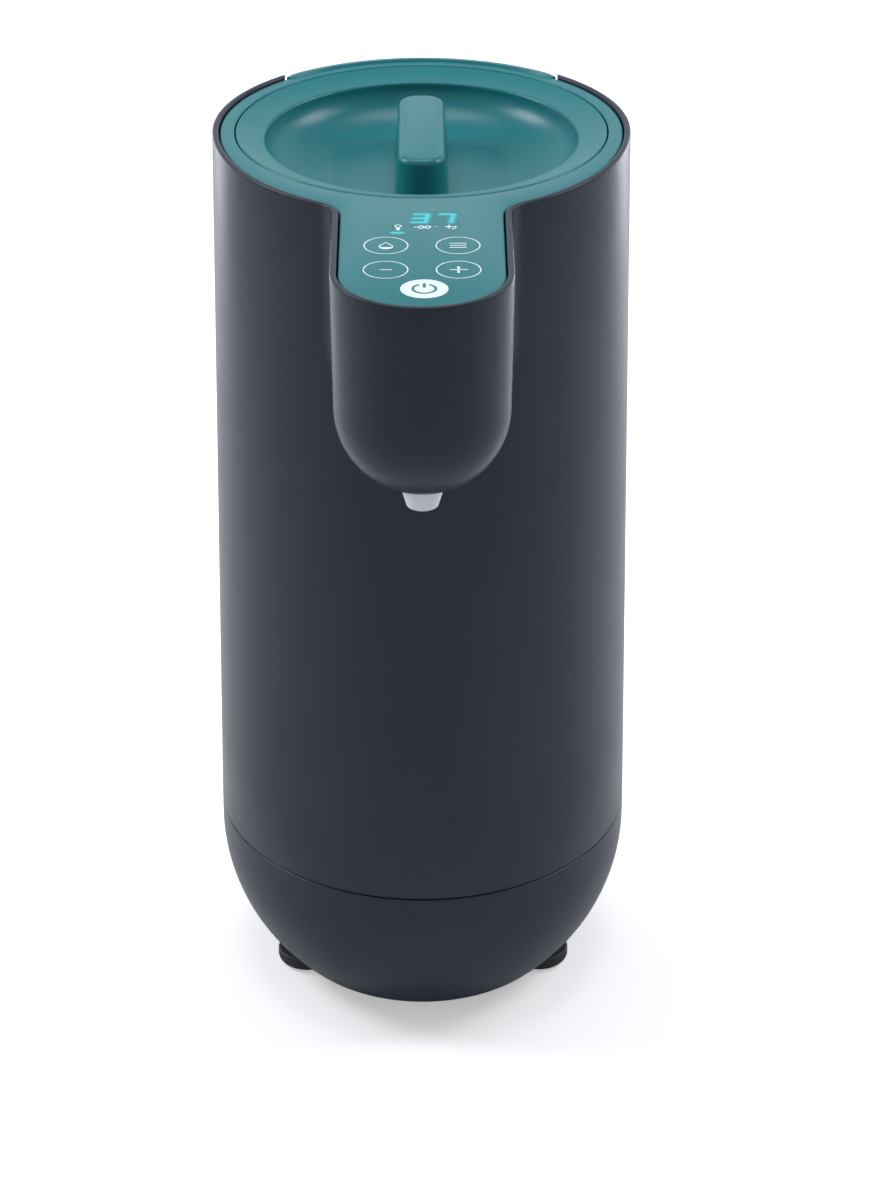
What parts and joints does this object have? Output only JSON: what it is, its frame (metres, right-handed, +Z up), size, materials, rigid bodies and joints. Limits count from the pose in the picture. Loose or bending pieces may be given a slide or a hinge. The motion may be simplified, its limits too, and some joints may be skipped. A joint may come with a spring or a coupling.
{
  "type": "baby formula maker",
  "caption": "Upright oval baby bottle water maker with a spout head over the bottle's place, a lift-off dished lid with a bar grip, and a steel tank, heater and pump inside.",
  "frame": {"origin": "centre of the footprint of the whole object, on the surface that the feet stand on", "axes": "+Z up, -Y towards the spout and the user, +X to the right as seen from the front"},
  "size_m": [0.1338, 0.2102, 0.29],
  "materials": {
    "dark_plastic": "satin moulded",
    "teal_plastic": "satin moulded",
    "white_plastic": "smooth",
    "grey_plastic": "moulded",
    "silicone": "matte",
    "rubber": "matte",
    "steel": "drawn",
    "aluminium": "cast",
    "circuit_board": "solder mask",
    "black_plastic": "moulded",
    "felt": "pressed felt"
  },
  "bodies": {
    "housing": {"outer_shell": "dark_plastic", "base_cover": "dark_plastic", "foot_front_left": "rubber", "foot_front_right": "rubber", "foot_rear_left": "rubber", "foot_rear_right": "rubber", "deck": "teal_plastic", "tank": "steel", "tank_gasket": "silicone", "insulation_wrap": "felt", "tank_chassis": "black_plastic", "heating_plate": "aluminium", "heating_element": "steel", "thermal_cutout_left": "black_plastic", "thermal_cutout_right": "black_plastic", "temperature_sensor": "steel", "pump_case": "black_plastic", "pump_body": "grey_plastic", "pump_stator": "steel", "pump_shaft": "steel", "pump_cover": "black_plastic", "suction_hose": "silicone", "delivery_hose": "silicone", "hose_clip_1": "steel", "hose_clip_2": "steel", "hose_clip_3": "steel", "hose_clip_4": "steel", "nozzle_holder": "grey_plastic", "control_board": "circuit_board", "digit_display": "black_plastic", "touch_pad_rear_left": "rubber", "touch_pad_rear_right": "rubber", "touch_pad_minus": "rubber", "touch_pad_plus": "rubber", "touch_pad_power": "rubber", "board_screw_1": "steel", "board_screw_2": "steel", "board_screw_3": "steel", "power_board": "circuit_board", "transformer": "black_plastic", "heater_relay": "black_plastic", "capacitor": "aluminium", "power_screw_1": "steel", "power_screw_2": "steel", "power_screw_3": "steel", "power_screw_4": "steel", "wiring_harness": "rubber", "base_screw_1": "steel", "base_screw_2": "steel", "base_screw_3": "steel", "base_screw_4": "steel", "cord_gland": "black_plastic", "gland_nut": "black_plastic"},
    "lid": {"lid_bowl": "teal_plastic", "lid_liner": "grey_plastic", "lid_seal": "silicone"},
    "nozzle": {"nozzle": "white_plastic"},
    "impeller": {"impeller": "white_plastic"}
  },
  "joints": [
    {"name": "lid_lift", "type": "slide", "parent": "housing", "child": "lid", "axis": [0, 0, 1], "range_m": [0, 0.06]},
    {"name": "nozzle_pull", "type": "slide", "parent": "housing", "child": "nozzle", "axis": [0, 0, -1], "range_m": [0, 0.02]},
    {"name": "impeller_spin", "type": "hinge", "parent": "housing", "child": "impeller", "pos_m": [0, -0.00275, 0.075], "axis": [0, 0, 1], "continuous": true}
  ]
}
